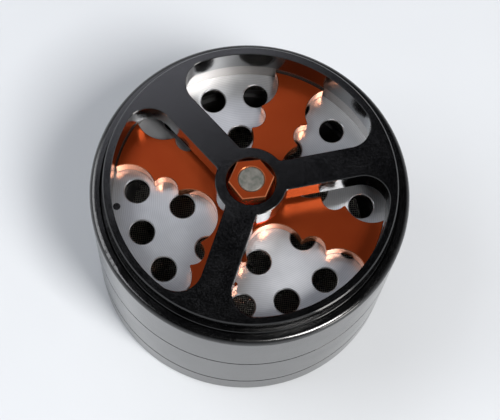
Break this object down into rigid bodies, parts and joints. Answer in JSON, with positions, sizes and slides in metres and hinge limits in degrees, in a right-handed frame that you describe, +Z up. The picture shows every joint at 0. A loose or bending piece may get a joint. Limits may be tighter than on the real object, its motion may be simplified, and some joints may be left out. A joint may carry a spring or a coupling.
{
  "type": "toothless herb mill",
  "caption": "Round hand-held mill: a spoked wheel over a spinning scalloped rotor with a hex drive, a drilled plate, and a screened canister and cup below.",
  "frame": {"origin": "centre of the base cup's flat underside, on the table", "axes": "+Z up along the mill's axis; +X and +Y across it, with the spokes at 18.5, 138.5 and 258.5 degrees from +X"},
  "size_m": [0.063, 0.063, 0.0432],
  "materials": {
    "black_anodised": "satin black anodised, machined",
    "copper_anodised": "satin copper-orange anodised, milled",
    "bright_plate": "fine concentric turning",
    "magnet": "nickel plated, matt",
    "bearing_plastic": "natural acetal",
    "pin_steel": "ground",
    "screen_steel": "woven stainless",
    "seal_rubber": "matt"
  },
  "bodies": {
    "cup": {"base_cup": "black_anodised", "cup_seal": "seal_rubber"},
    "can": {"canister": "black_anodised", "canister_seal": "seal_rubber", "screen_frame": "bright_plate", "screen_mesh": "screen_steel", "screen_clip": "pin_steel"},
    "head": {"body_ring": "black_anodised", "mill_dish": "bright_plate", "pivot_bush": "bearing_plastic", "index_pin": "pin_steel"},
    "spinner": {"rotor": "copper_anodised", "drive_magnet": "magnet", "thrust_washer": "bearing_plastic"},
    "top_wheel": {"wheel": "black_anodised"}
  },
  "joints": [
    {"name": "canister_lift", "type": "slide", "parent": "cup", "child": "can", "axis": [0, 0, 1], "range_m": [0, 0.02]},
    {"name": "head_lift", "type": "slide", "parent": "can", "child": "head", "axis": [0, 0, 1], "range_m": [0, 0.02]},
    {"name": "rotor_spin", "type": "hinge", "parent": "head", "child": "spinner", "pos_m": [0, 0, 0.034], "axis": [0, 0, 1], "continuous": true},
    {"name": "wheel_lift", "type": "slide", "parent": "head", "child": "top_wheel", "axis": [0, 0, 1], "range_m": [0, 0.02]}
  ]
}
